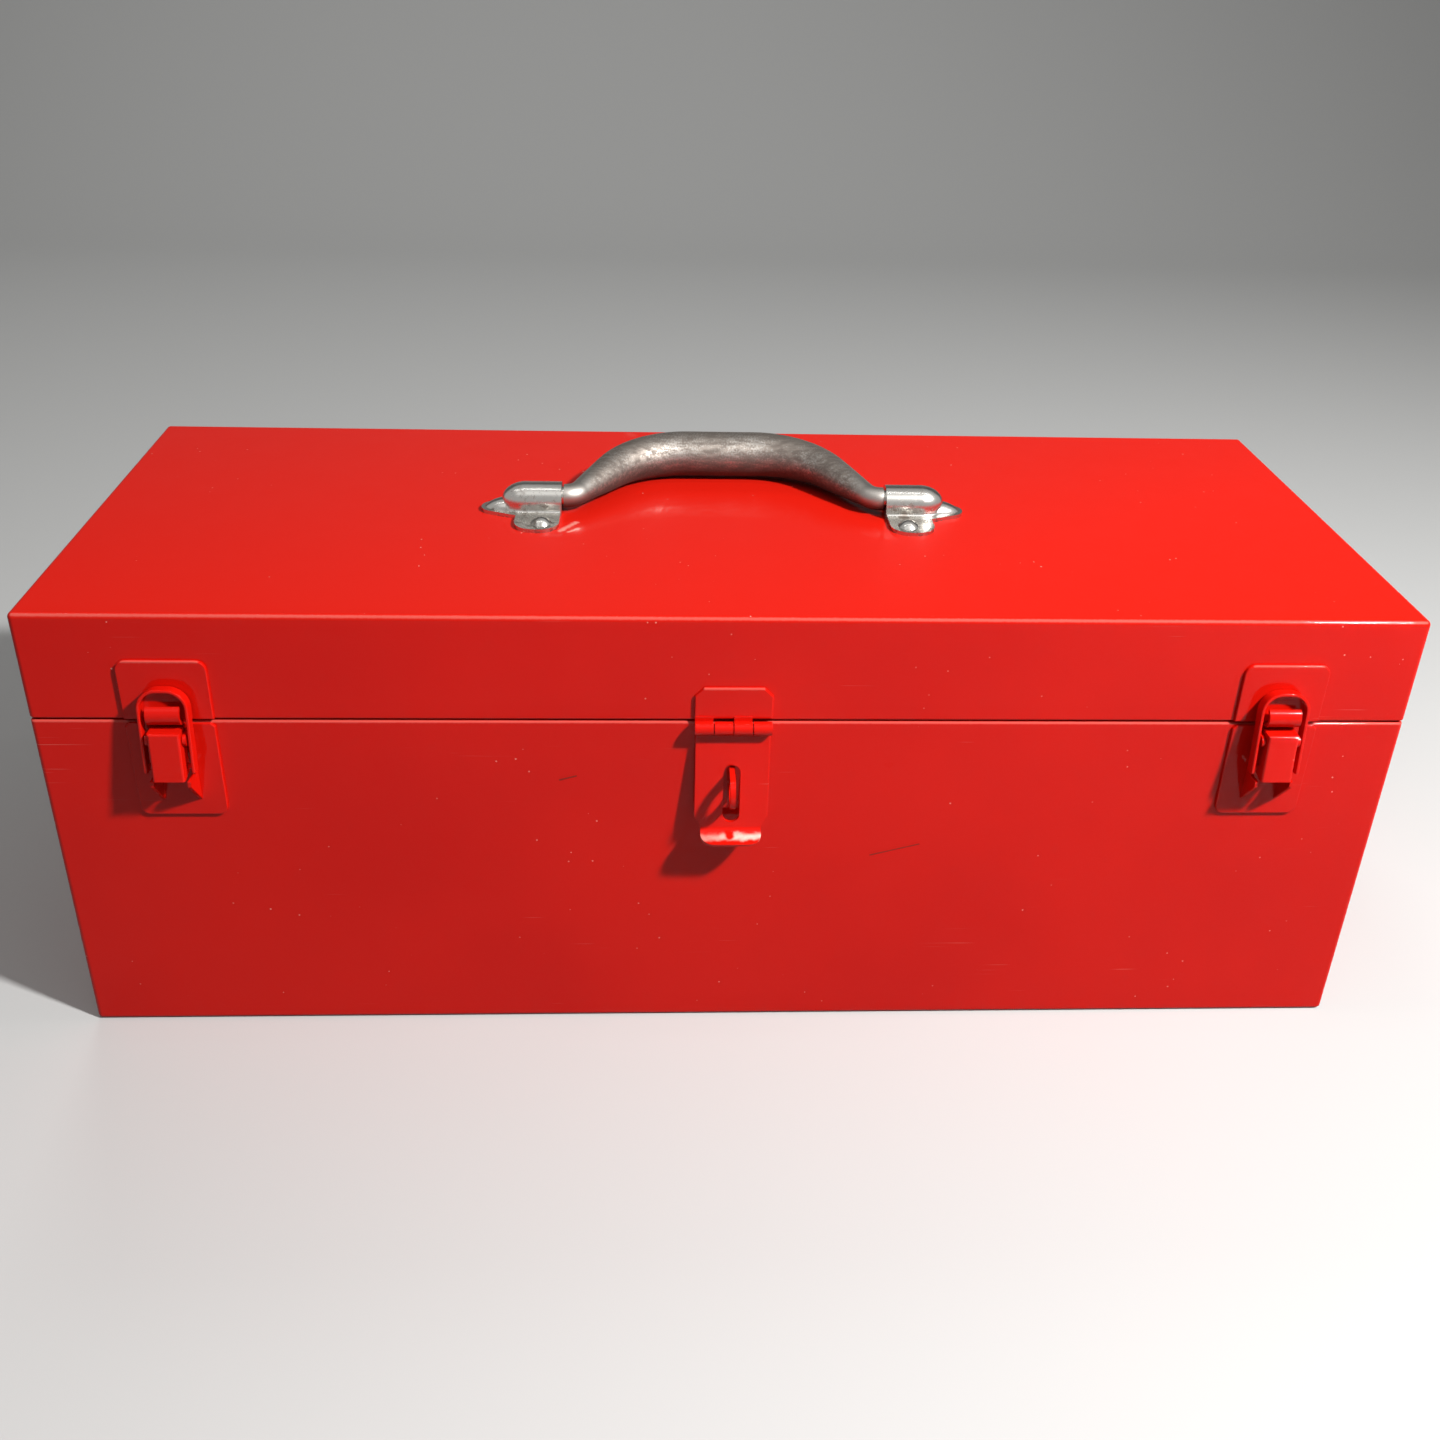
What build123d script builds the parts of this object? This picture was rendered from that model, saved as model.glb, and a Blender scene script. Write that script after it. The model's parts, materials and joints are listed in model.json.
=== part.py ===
from build123d import *

import os
from math import asin, atan2, cos, degrees, hypot, radians, sin, tan

os.makedirs("parts", exist_ok=True)

# Steel hand toolbox: a folded sheet body, a flat hinged lid with a carrying handle,
# two draw latches, a padlock hasp and a lift-out tray.
# Millimetres. Origin at the centre of the bottom face, +X to the right of a person
# facing the latches, +Y to the back, +Z up.

# Box
LENGTH = 508.0
DEPTH = 203.0
SEAM_HEIGHT = 140.0
LID_RISE = 42.0
SEAM_GAP = 0.8
SHEET = 1.0
BEND_RADIUS = 2.0
RIM_ROUND = 0.8
HEM_DEPTH = 8.0
HEM_RELIEF = 0.5
END_FLANGE = 3.2
PANEL_FIT = 0.2
PLATE_EDGE_ROUND = 0.5

# Back hinge
HINGE_LENGTH = 464.0
HINGE_KNUCKLES = 17
HINGE_KNUCKLE_R = 3.0
HINGE_PIN_R = 1.5
HINGE_LEAF = 1.0
HINGE_LEAF_HEIGHT = 20.0
HINGE_STAND_OFF = 0.3
HINGE_HEAD_R = 2.4
HINGE_HEAD = 1.0
KNUCKLE_GAP = 0.4
RUNNING_CLEARANCE = 0.05
LID_STOP_ANGLE = 105.0
STOP_WIDTH = 10.0
STOP_THICKNESS = 1.8
STOP_CLEARANCE = 0.05

# Draw latches
LATCH_END_INSET = 50.0
PLATE = 1.3
LATCH_WIDTH = 32.0
CATCH_TOP = 24.4
CATCH_CORNER = 4.0
BASE_DROP = 40.0
BASE_CORNER = 3.5
BASE_TOP_CHAMFER = 1.5
SEAM_MARGIN = 0.8
HOOK_WIDTH = 12.0
HOOK_INNER_R = 2.8
HOOK_CURL = 70.0
HOOK_LIP_ROUND = 0.5
LEVER_WIDTH = 11.5
LEVER_SHEET = 1.2
LEVER_PIVOT = (7.0, -4.2)
LEVER_TOP = -0.4
LEVER_BOTTOM = -19.0
LEVER_FACE_TOP = 10.4
LEVER_FACE_BOTTOM = 12.4
LEVER_BACK = 4.4
LEVER_ROUND = 1.0
LEVER_PIN_R = 1.1
LEVER_SIDE_GAP = 0.3
CHEEK = 1.2
EAR_R = 2.2
CHEEK_RAIL = 3.4
CHEEK_FOOT = 11.0
CHEEK_FOOT_TOP = -19.8
CHEEK_BOTTOM = -33.0
LOOP_PIVOT = (6.5, -15.5)
LOOP_BAR = (2.8, 13.7)
LOOP_PIN_R = 1.1
LOOP_SIDE_GAP = 0.6
LOOP_RIM = 1.3
LOOP_RIM_BACK = 1.1
LOOP_RIM_FRONT = 3.3
LOOP_RIM_ROUND = 0.5
LOOP_CORNER_R = 7.6
LOOP_END = 2.2
LOOP_WEB = 1.0
LOOP_WEB_BOTTOM = 2.7

# Padlock hasp
HASP_WIDTH = 28.8
HASP_LEAF_TOP = 14.2
HASP_LEAF_CHAMFER = 3.4
HASP_SHEET = 1.2
HASP_KNUCKLES = 4
HASP_KNUCKLE_R = 2.6
HASP_AXIS_Z = -1.5
HASP_STAND_OFF = 0.4
HASP_PIN_R = 1.2
STRAP_WIDTH = 28.0
STRAP_FOOT = (5.4, -42.5)
STRAP_BEND_R = 3.0
STRAP_BEND_ANGLE = 62.0
STRAP_LIP = 5.6
STRAP_LIP_WIDTH = 23.0
STRAP_SHOULDER = 4.5
STRAP_CORNER = 5.0
STRAP_EDGE_ROUND = 0.4
SLOT_WIDTH = 6.4
SLOT_TOP = -17.2
SLOT_BOTTOM = -40.8
STAPLE_THICKNESS = 2.0
STAPLE_EYE = (8.7, -25.4)
STAPLE_R = 6.5
STAPLE_FOOT_WIDTH = 22.0
STAPLE_FOOT_HEIGHT = 24.0
STAPLE_FOOT_CORNER = 4.0
PADLOCK_HOLE_R = 3.8

# Carrying handle
HANDLE_AXIS_RISE = 6.3
HANDLE_ARM = 42.3
HANDLE_ROD_R = 3.6
HANDLE_KNEE_X = 61.5
HANDLE_SHOULDER_X = 35.3
HANDLE_KNEE_R = 6.5
HANDLE_SHOULDER_R = 38.0
GRIP_R = 9.5
GRIP_WALL = 0.8
GRIP_LEAD = 0.6
GRIP_SECTIONS = 13
GRIP_TAPER = 0.62
GRIP_REST_GAP = 0.5
GRIP_ROD_GAP = 0.3
BRACKET_MOUTH_X = 66.5
BRACKET_DOME = 24.5
BRACKET_DOME_R = 7.2
BRACKET_DOME_RISE = 12.0
BRACKET_NOSE = 10.0
BRACKET_RIDGE = 14.0
BRACKET_RIDGE_R = 6.0
BRACKET_RIDGE_MARGIN = 1.0
BRACKET_TIP_X = 99.5
BRACKET_TIP_R = 6.0
BRACKET_TONGUE_R = 10.5
BRACKET_TONGUE_X = 82.0
BRACKET_SHEET = 1.6
BRACKET_ROOT_ROUND = 1.2
BRACKET_LOBE_X = 76.0
BRACKET_LOBE_WIDTH = 18.0
BRACKET_LOBE_REACH = 25.0
BRACKET_LOBE_CORNER = 8.0
TRUNNION_END_GAP = 2.0
HANDLE_RIVET_X = 74.2
HANDLE_RIVET_Y = 17.8
RIVET_R = 2.5
RIVET_HEAD_R = 4.3
RIVET_HEAD_RISE = 2.6
RIVET_TAIL = 1.4
RIVET_GAP = 0.1
BACKING_LENGTH = 216.0
BACKING_DEPTH = 62.0
BACKING_SHEET = 1.2
BACKING_CORNER = 6.0

# Tray
TRAY_SHEET = 0.8
TRAY_CLEARANCE = 3.0
TRAY_HEIGHT = 46.0
TRAY_DROP = 7.0
TRAY_BEND_R = 2.0
TRAY_HEM = 6.0
TRAY_REST_LENGTH = 150.0
TRAY_REST_LEDGE = 14.0
TRAY_REST_LEG = 12.0
TRAY_REST_SHEET = 1.2
TRAY_GRIP_WIDTH = 25.0
TRAY_GRIP_SHEET = 2.0
TRAY_GRIP_RISE = 38.0
TRAY_GRIP_TOP_HALF = 58.0
TRAY_GRIP_SHOULDER = 4.0
TRAY_GRIP_BEND_R = 10.0
TRAY_GRIP_FOOT = 26.0
TRAY_RIVET_DROP = 15.0
TRAY_RIVET_X = 7.0
TRAY_RIVET_R = 2.0
TRAY_RIVET_HEAD_R = 3.4
TRAY_RIVET_HEAD = 1.2

# Places that follow from the sizes above
TOP = SEAM_HEIGHT + LID_RISE
BODY_RIM = SEAM_HEIGHT - SEAM_GAP / 2
LID_RIM = SEAM_HEIGHT + SEAM_GAP / 2
FRONT = -DEPTH / 2
BACK = DEPTH / 2
LATCH_X = LENGTH / 2 - LATCH_END_INSET
PANEL_OUTER_X = LENGTH / 2 - SHEET
PANEL_INNER_X = PANEL_OUTER_X - SHEET
HEM_INNER_X = PANEL_INNER_X - SHEET
HEM_INNER_Y = DEPTH / 2 - 2 * SHEET
CHEEK_INNER = LEVER_WIDTH / 2 + LEVER_SIDE_GAP
CHEEK_OUTER = CHEEK_INNER + CHEEK
LOOP_INNER = CHEEK_OUTER + LOOP_SIDE_GAP
LOOP_OUTER = LOOP_INNER + LOOP_RIM
HASP_AXIS_OUT = HASP_KNUCKLE_R + HASP_STAND_OFF
HASP_CLEAR = HASP_KNUCKLE_R + KNUCKLE_GAP
STRAP_TOP = (HASP_STAND_OFF + HASP_SHEET / 2, HASP_AXIS_Z - HASP_CLEAR)
STAPLE_REACH = STAPLE_EYE[0] + STAPLE_R
HANDLE_AXIS_Z = TOP + HANDLE_AXIS_RISE
GRIP_NECK_R = HANDLE_ROD_R + GRIP_ROD_GAP + GRIP_WALL
HANDLE_REST_TILT = degrees(asin((GRIP_R + GRIP_REST_GAP - HANDLE_AXIS_RISE) / HANDLE_ARM))
TUNNEL = BRACKET_DOME - BRACKET_NOSE
TRUNNION_END_X = BRACKET_MOUTH_X + TUNNEL - TRUNNION_END_GAP
TRAY_HALF_LENGTH = HEM_INNER_X - TRAY_CLEARANCE
TRAY_HALF_DEPTH = HEM_INNER_Y - TRAY_CLEARANCE
TRAY_RIM = SEAM_HEIGHT - TRAY_DROP
TRAY_SEAT = TRAY_RIM - TRAY_HEIGHT
TRAY_WALL_OUTER = TRAY_HALF_DEPTH - TRAY_SHEET
TRAY_WALL_INNER = TRAY_WALL_OUTER - TRAY_SHEET

SIDES = (("left", -1), ("right", 1))


def save(part, name):
    """Label one finished piece and write it to its own file."""
    part.label = name
    export_step(part, f"parts/{name}.step")


def front_plane(x=0.0):
    """Plane on the front wall at the seam: local x to the right, local y up, facing out."""
    return Plane(origin=(x, FRONT, SEAM_HEIGHT), x_dir=(1, 0, 0), z_dir=(0, -1, 0))


def side_plane(x=0.0):
    """Plane across the front wall at the seam: local x outwards, local y up."""
    return Plane(origin=(x, FRONT, SEAM_HEIGHT), x_dir=(0, -1, 0), z_dir=(-1, 0, 0))


def hinge_plane(x=0.0):
    """Plane across the back hinge axis: local x towards the front, local y up."""
    axis_y = BACK + HINGE_STAND_OFF + HINGE_KNUCKLE_R
    return Plane(origin=(x, axis_y, SEAM_HEIGHT), x_dir=(0, -1, 0), z_dir=(-1, 0, 0))


def folded_shell(low, high, open_face):
    """Rectangular sheet shell with rounded folds, open at one end in Z, flanged at both ends in X."""
    closed_face = -1 - open_face
    window_low = low + END_FLANGE if open_face else low - SHEET
    window_high = high + SHEET if open_face else high - END_FLANGE
    hem_z = high - HEM_DEPTH / 2 if open_face else low + HEM_DEPTH / 2
    with BuildPart() as shell:
        with BuildSketch(Plane.XY.offset(low)):
            Rectangle(LENGTH, DEPTH)
        extrude(amount=high - low)
        fillet(shell.edges().filter_by(Axis.Z), BEND_RADIUS)
        fillet(shell.faces().sort_by(Axis.Z)[closed_face].edges(), BEND_RADIUS)
        offset(amount=-SHEET, openings=shell.faces().sort_by(Axis.Z)[open_face])
        fillet(shell.faces().sort_by(Axis.Z)[open_face].outer_wire().edges(), RIM_ROUND)
        with BuildSketch(Plane.YZ):
            with Locations((0, (window_low + window_high) / 2)):
                Rectangle(DEPTH - 2 * END_FLANGE, window_high - window_low)
        extrude(amount=LENGTH, both=True, mode=Mode.SUBTRACT)
        for y in (-1, 1):
            with Locations((0, y * (HEM_INNER_Y + SHEET / 2), hem_z)):
                Box(2 * (HEM_INNER_X - HEM_RELIEF), SHEET, HEM_DEPTH)
    return shell.part


def end_panel(side, low, high, open_end):
    """Flat end panel inside the turned flanges, its free edge folded in; open_end is +1 for a free top."""
    half = DEPTH / 2 - BEND_RADIUS - PANEL_FIT
    hem_z = high - HEM_DEPTH / 2 if open_end > 0 else low + HEM_DEPTH / 2
    with BuildPart() as panel:
        with BuildSketch(Plane.YZ.offset(side * PANEL_OUTER_X)) as face:
            with Locations((0, (low + high) / 2)):
                Rectangle(2 * half, high - low)
            closed = face.vertices().group_by(Axis.Y)[0 if open_end > 0 else -1]
            fillet(closed, BEND_RADIUS)
        extrude(amount=-side * SHEET)
        with BuildSketch(Plane.YZ.offset(side * PANEL_INNER_X)):
            with Locations((0, hem_z)):
                Rectangle(2 * (HEM_INNER_Y - HEM_RELIEF), HEM_DEPTH)
        extrude(amount=-side * SHEET)
    return panel.part


# Body: one sheet folded round front, bottom and back, with two end panels
save(folded_shell(0, BODY_RIM, -1), "body_wrap")
for side_name, side in SIDES:
    save(end_panel(side, BEND_RADIUS + PANEL_FIT, BODY_RIM, 1), f"body_{side_name}_end")

# Tray rests: an angle on each end panel, its ledge at the tray's seat
for side_name, side in SIDES:
    with BuildPart() as tray_rest:
        with BuildSketch(Plane.XZ):
            with BuildLine():
                Polyline(
                    (side * PANEL_INNER_X, TRAY_SEAT),
                    (side * (PANEL_INNER_X - TRAY_REST_LEDGE), TRAY_SEAT),
                    (side * (PANEL_INNER_X - TRAY_REST_LEDGE), TRAY_SEAT - TRAY_REST_SHEET),
                    (side * (PANEL_INNER_X - TRAY_REST_SHEET), TRAY_SEAT - TRAY_REST_SHEET),
                    (side * (PANEL_INNER_X - TRAY_REST_SHEET), TRAY_SEAT - TRAY_REST_LEG),
                    (side * PANEL_INNER_X, TRAY_SEAT - TRAY_REST_LEG),
                    close=True,
                )
            make_face()
        extrude(amount=TRAY_REST_LENGTH / 2, both=True)
    save(tray_rest.part, f"tray_rest_{side_name}")


def rivet_points():
    """Centres of the handle's four rivets on the lid."""
    return [(x * HANDLE_RIVET_X, y * HANDLE_RIVET_Y) for x in (-1, 1) for y in (-1, 1)]


# Lid: one sheet folded round front, top and back, pierced for the handle's rivets
with BuildPart() as lid_wrap:
    add(folded_shell(LID_RIM, TOP, 0))
    with BuildSketch(Plane.XY.offset(TOP)):
        with Locations(*rivet_points()):
            Circle(RIVET_R + RIVET_GAP)
    extrude(amount=-2 * SHEET, mode=Mode.SUBTRACT)
save(lid_wrap.part, "lid_wrap")
for side_name, side in SIDES:
    save(end_panel(side, LID_RIM, TOP - BEND_RADIUS - PANEL_FIT, -1), f"lid_{side_name}_end")

with BuildPart() as handle_backing_plate:
    with BuildSketch(Plane.XY.offset(TOP - SHEET)):
        RectangleRounded(BACKING_LENGTH, BACKING_DEPTH, BACKING_CORNER)
        with Locations(*rivet_points()):
            Circle(RIVET_R + RIVET_GAP, mode=Mode.SUBTRACT)
    extrude(amount=-BACKING_SHEET)
save(handle_backing_plate.part, "handle_backing_plate")


def knuckle_spans(length, count, first):
    """Centre and length of every second knuckle along a hinge, starting with knuckle number first."""
    pitch = length / count
    return [(-length / 2 + pitch * (i + 0.5), pitch - KNUCKLE_GAP) for i in range(first, count, 2)]


def hinge_leaf(up):
    """One leaf of the back hinge with its knuckles; up is +1 for the lid's leaf and -1 for the body's."""
    wall = HINGE_KNUCKLE_R + HINGE_STAND_OFF
    clear = HINGE_KNUCKLE_R + KNUCKLE_GAP
    first = 1 if up > 0 else 0
    with BuildPart() as leaf:
        with BuildSketch(hinge_plane()):
            with Locations((wall - HINGE_LEAF / 2, up * (clear + HINGE_LEAF_HEIGHT) / 2)):
                Rectangle(HINGE_LEAF, HINGE_LEAF_HEIGHT - clear)
        extrude(amount=HINGE_LENGTH / 2, both=True)
        for x, span in knuckle_spans(HINGE_LENGTH, HINGE_KNUCKLES, first):
            with BuildSketch(hinge_plane(x)):
                Circle(HINGE_KNUCKLE_R)
                with Locations((wall - HINGE_LEAF / 2, up * clear / 2)):
                    Rectangle(HINGE_LEAF, clear)
                Circle(HINGE_PIN_R + RUNNING_CLEARANCE, mode=Mode.SUBTRACT)
            extrude(amount=span / 2, both=True)
        if up > 0:
            for x in (-1, 1):
                add(stop_tab(x * (HINGE_LENGTH + STOP_WIDTH) / 2, wall))
    return leaf.part


def stop_tab(x, wall):
    """Tab that reaches over the hinge and lands flat on the body's back when the lid is fully open."""
    turn = radians(LID_STOP_ANGLE)
    reach = HINGE_KNUCKLE_R - KNUCKLE_GAP
    over = HINGE_KNUCKLE_R + KNUCKLE_GAP

    def landing(out):
        return -(wall - STOP_CLEARANCE - out * cos(turn)) / sin(turn)

    with BuildPart() as tab:
        with BuildSketch(hinge_plane(x)):
            with BuildLine():
                Polyline(
                    (wall, HINGE_LEAF_HEIGHT),
                    (wall, over),
                    (-reach, over),
                    (-reach, landing(-reach)),
                    (-reach - STOP_THICKNESS, landing(-reach - STOP_THICKNESS)),
                    (-reach - STOP_THICKNESS, over + STOP_THICKNESS),
                    (wall - HINGE_LEAF, over + STOP_THICKNESS),
                    (wall - HINGE_LEAF, HINGE_LEAF_HEIGHT),
                    close=True,
                )
            make_face()
        extrude(amount=STOP_WIDTH / 2, both=True)
    return tab.part


save(hinge_leaf(-1), "hinge_body_leaf")
save(hinge_leaf(1), "hinge_lid_leaf")

with BuildPart() as hinge_pin:
    with BuildSketch(hinge_plane()):
        Circle(HINGE_PIN_R)
    extrude(amount=HINGE_LENGTH / 2, both=True)
    for x in (-1, 1):
        with BuildSketch(hinge_plane(x * (HINGE_LENGTH - KNUCKLE_GAP + HINGE_HEAD) / 2)):
            Circle(HINGE_HEAD_R)
        extrude(amount=HINGE_HEAD / 2, both=True)
save(hinge_pin.part, "hinge_pin")


def catch_plate(x):
    """Lid plate of a draw latch with its tongue curled up into a hook."""
    hook_outer = HOOK_INNER_R + PLATE
    curl = (PLATE + HOOK_INNER_R, SEAM_MARGIN + hook_outer)
    with BuildPart() as catch:
        with BuildSketch(front_plane(x)) as outline:
            with Locations((0, (SEAM_MARGIN + CATCH_TOP) / 2)):
                Rectangle(LATCH_WIDTH, CATCH_TOP - SEAM_MARGIN)
            fillet(outline.vertices().group_by(Axis.Y)[-1], CATCH_CORNER)
        extrude(amount=PLATE)
        fillet(catch.faces().sort_by(Axis.Y)[0].edges(), PLATE_EDGE_ROUND)
        with BuildSketch(side_plane(x)) as hook:
            with BuildLine():
                outside = CenterArc(curl, hook_outer, 180, 180 + HOOK_CURL)
                inside = CenterArc(curl, HOOK_INNER_R, 180, 180 + HOOK_CURL)
                Line(outside @ 0, inside @ 0)
                Line(outside @ 1, inside @ 1)
            make_face()
            fillet(hook.vertices().sort_by(Axis.Y)[-2:], HOOK_LIP_ROUND)
        extrude(amount=HOOK_WIDTH / 2, both=True)
    return catch.part


def latch_base(x):
    """Body plate of a draw latch with two cheeks that carry the lever's pin."""
    pivot_out, pivot_up = LEVER_PIVOT
    with BuildPart() as base:
        with BuildSketch(front_plane(x)) as outline:
            with Locations((0, -(SEAM_MARGIN + BASE_DROP) / 2)):
                Rectangle(LATCH_WIDTH, BASE_DROP - SEAM_MARGIN)
            fillet(outline.vertices().group_by(Axis.Y)[0], BASE_CORNER)
            chamfer(outline.vertices().group_by(Axis.Y)[-1], BASE_TOP_CHAMFER)
        extrude(amount=PLATE)
        fillet(base.faces().sort_by(Axis.Y)[0].edges(), PLATE_EDGE_ROUND)
        for side in (-1, 1):
            with BuildSketch(side_plane(x + side * CHEEK_INNER)):
                with BuildLine():
                    Polyline(
                        (0, pivot_up + EAR_R),
                        (pivot_out, pivot_up + EAR_R),
                        (pivot_out, pivot_up - EAR_R),
                        (CHEEK_RAIL, pivot_up - 2 * EAR_R),
                        (CHEEK_RAIL, CHEEK_FOOT_TOP),
                        (CHEEK_FOOT, CHEEK_FOOT_TOP),
                        (CHEEK_FOOT, CHEEK_FOOT_TOP - EAR_R),
                        (PLATE, CHEEK_BOTTOM),
                        (0, CHEEK_BOTTOM),
                        close=True,
                    )
                make_face()
                with Locations(LEVER_PIVOT):
                    Circle(EAR_R)
                    Circle(LEVER_PIN_R + RUNNING_CLEARANCE, mode=Mode.SUBTRACT)
            extrude(amount=-side * CHEEK)
    return base.part


def latch_lever(x):
    """Pressed channel that turns on the lever's pin, open at its back and at its finger end."""
    pivot_out, pivot_up = LEVER_PIVOT
    loop_out, loop_up = LOOP_PIVOT
    lean = (LEVER_FACE_BOTTOM - LEVER_FACE_TOP) / (LEVER_TOP - LEVER_BOTTOM)
    face_at_cap = LEVER_FACE_TOP + lean * LEVER_SHEET
    with BuildPart() as lever:
        with BuildSketch(side_plane(x)):
            with BuildLine():
                Polyline(
                    (LEVER_FACE_TOP, LEVER_TOP),
                    (LEVER_FACE_BOTTOM, LEVER_BOTTOM),
                    (LEVER_FACE_BOTTOM - 2 * LEVER_SHEET, LEVER_BOTTOM),
                    (LEVER_BACK, loop_up - 2 * LOOP_PIN_R),
                    (LEVER_BACK, LEVER_TOP),
                    close=True,
                )
            make_face()
        extrude(amount=LEVER_WIDTH / 2, both=True)
        face_edges = lever.faces().sort_by(Axis.Y)[0].edges()
        fillet(face_edges.filter_by(Axis.X, reverse=True) + face_edges.group_by(Axis.Z)[-1], LEVER_ROUND)
        with BuildSketch(side_plane(x)):
            with BuildLine():
                Polyline(
                    (face_at_cap - LEVER_SHEET, LEVER_TOP - LEVER_SHEET),
                    (LEVER_FACE_BOTTOM - LEVER_SHEET, LEVER_BOTTOM),
                    (LEVER_FACE_BOTTOM - LEVER_SHEET, LEVER_BOTTOM - LEVER_SHEET),
                    (0, LEVER_BOTTOM - LEVER_SHEET),
                    (0, LEVER_TOP - LEVER_SHEET),
                    close=True,
                )
            make_face()
        extrude(amount=LEVER_WIDTH / 2 - LEVER_SHEET, both=True, mode=Mode.SUBTRACT)
        with BuildSketch(side_plane(x)):
            with Locations((pivot_out, pivot_up)):
                Circle(LEVER_PIN_R + RUNNING_CLEARANCE)
            with Locations((loop_out, loop_up)):
                Circle(LOOP_PIN_R + RUNNING_CLEARANCE)
        extrude(amount=LEVER_WIDTH, both=True, mode=Mode.SUBTRACT)
    return lever.part


def lever_pin(x):
    """Pin set flush in the two cheeks."""
    with BuildPart() as pin:
        with BuildSketch(side_plane(x)):
            with Locations(LEVER_PIVOT):
                Circle(LEVER_PIN_R)
        extrude(amount=CHEEK_OUTER, both=True)
    return pin.part


def latch_loop(x):
    """Pressed link, a deep rim round a set-back web: it turns in the lever and hooks into the catch."""
    run_out = LOOP_BAR[0] - LOOP_PIVOT[0]
    run_up = LOOP_BAR[1] - LOOP_PIVOT[1]
    run = hypot(run_out, run_up)
    arch_top = run + LOOP_PIN_R
    web_low = (LOOP_WEB_BOTTOM - LOOP_PIVOT[1]) * run / run_up
    eye_x = LEVER_WIDTH / 2 - LEVER_SHEET
    plane = Plane(
        origin=(x, FRONT - LOOP_PIVOT[0], SEAM_HEIGHT + LOOP_PIVOT[1]),
        x_dir=(1, 0, 0),
        z_dir=(0, -run_up, -run_out),
    ).offset(-LOOP_RIM_BACK)

    def arch(low, inset):
        with BuildSketch() as area:
            with Locations((0, (low + arch_top - inset) / 2)):
                Rectangle(2 * (LOOP_OUTER - inset), arch_top - inset - low)
            fillet(area.vertices().group_by(Axis.Y)[-1], LOOP_CORNER_R - inset)
        return area.sketch

    with BuildPart() as loop:
        with BuildSketch(plane):
            add(arch(-LOOP_END, 0))
            add(arch(-LOOP_END, LOOP_RIM), mode=Mode.SUBTRACT)
        extrude(amount=LOOP_RIM_BACK + LOOP_RIM_FRONT)
        fillet(loop.edges().filter_by(Axis.X).sort_by(Axis.Z)[:4], LOOP_RIM_BACK)
        fillet(loop.faces().sort_by(Axis(plane.origin, plane.z_dir))[-1].edges(), LOOP_RIM_ROUND)
        with BuildSketch(plane):
            add(arch(web_low, 0))
        extrude(amount=LOOP_WEB)
        for side in (-1, 1):
            with BuildSketch(side_plane(x + side * (LOOP_INNER + LOOP_RIM / 2))):
                with Locations(LOOP_PIVOT):
                    Circle(LOOP_PIN_R)
            extrude(amount=side * (LOOP_INNER + LOOP_RIM / 2 - eye_x))
    return loop.part


for side_name, side in SIDES:
    latch_x = side * LATCH_X
    save(catch_plate(latch_x), f"{side_name}_catch_plate")
    save(latch_base(latch_x), f"{side_name}_latch_base")
    save(latch_lever(latch_x), f"{side_name}_latch_lever")
    save(lever_pin(latch_x), f"{side_name}_lever_pin")
    save(latch_loop(latch_x), f"{side_name}_latch_loop")

# Hasp: a leaf on the lid, a slotted strap on a pin, and a staple on the body


def hasp_knuckles(first, plate_out, plate_up):
    """Every second knuckle of the hasp's hinge, each joined to its plate by a tangent tab."""
    with BuildPart() as knuckles:
        for x, span in knuckle_spans(HASP_WIDTH, HASP_KNUCKLES, first):
            with BuildSketch(side_plane(x)):
                with Locations((HASP_AXIS_OUT, HASP_AXIS_Z)):
                    Circle(HASP_KNUCKLE_R)
                    Circle(HASP_PIN_R + RUNNING_CLEARANCE, mode=Mode.SUBTRACT)
                with Locations((plate_out, HASP_AXIS_Z + plate_up / 2)):
                    Rectangle(HASP_SHEET, abs(plate_up))
            extrude(amount=span / 2, both=True)
    return knuckles.part


with BuildPart() as hasp_leaf:
    with BuildSketch(front_plane()) as leaf_outline:
        with Locations((0, (HASP_AXIS_Z + HASP_CLEAR + HASP_LEAF_TOP) / 2)):
            Rectangle(HASP_WIDTH, HASP_LEAF_TOP - HASP_AXIS_Z - HASP_CLEAR)
        chamfer(leaf_outline.vertices().group_by(Axis.Y)[-1], HASP_LEAF_CHAMFER)
    extrude(amount=HASP_SHEET)
    fillet(hasp_leaf.faces().sort_by(Axis.Y)[0].edges(), PLATE_EDGE_ROUND)
    add(hasp_knuckles(0, STRAP_TOP[0], HASP_CLEAR + HASP_SHEET))
save(hasp_leaf.part, "hasp_leaf")

with BuildPart() as hasp_pin:
    with BuildSketch(side_plane()):
        with Locations((HASP_AXIS_OUT, HASP_AXIS_Z)):
            Circle(HASP_PIN_R)
    extrude(amount=HASP_WIDTH / 2, both=True)
save(hasp_pin.part, "hasp_pin")

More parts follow.
